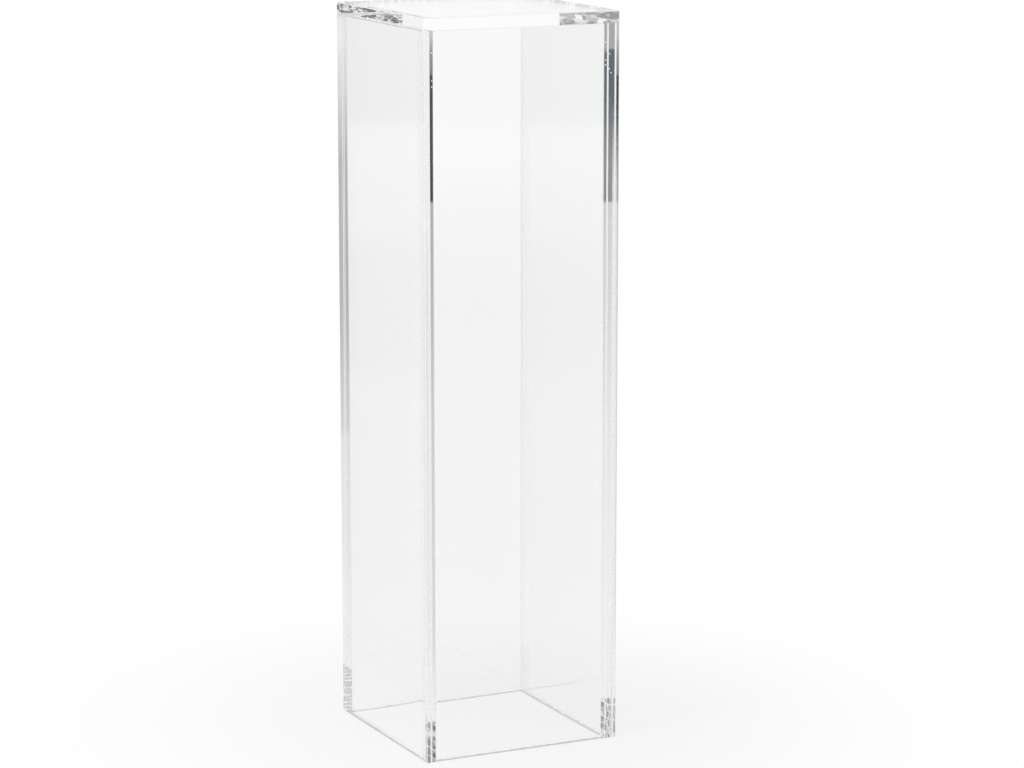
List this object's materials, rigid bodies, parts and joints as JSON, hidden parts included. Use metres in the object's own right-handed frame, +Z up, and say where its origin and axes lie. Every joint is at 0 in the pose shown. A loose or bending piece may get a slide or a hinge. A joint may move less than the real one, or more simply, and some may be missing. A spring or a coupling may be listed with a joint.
{
  "type": "pedestal display case",
  "caption": "Tall square clear acrylic pedestal case: four thick cemented walls under a flush flat top, open at the bottom, with polished edges.",
  "frame": {"origin": "centre of the square footprint, on the floor", "axes": "+Z up, -Y out of the front wall, +X to the viewer's right when facing the front wall"},
  "size_m": [0.3048, 0.3048, 1.0668],
  "materials": {
    "acrylic": "polished",
    "cement": "polished"
  },
  "bodies": {
    "root": {"front_wall": "acrylic", "back_wall": "acrylic", "left_wall": "acrylic", "right_wall": "acrylic", "top_panel": "acrylic", "seam_front_left": "cement", "seam_front_right": "cement", "seam_back_left": "cement", "seam_back_right": "cement", "seam_top": "cement"}
  },
  "joints": []
}
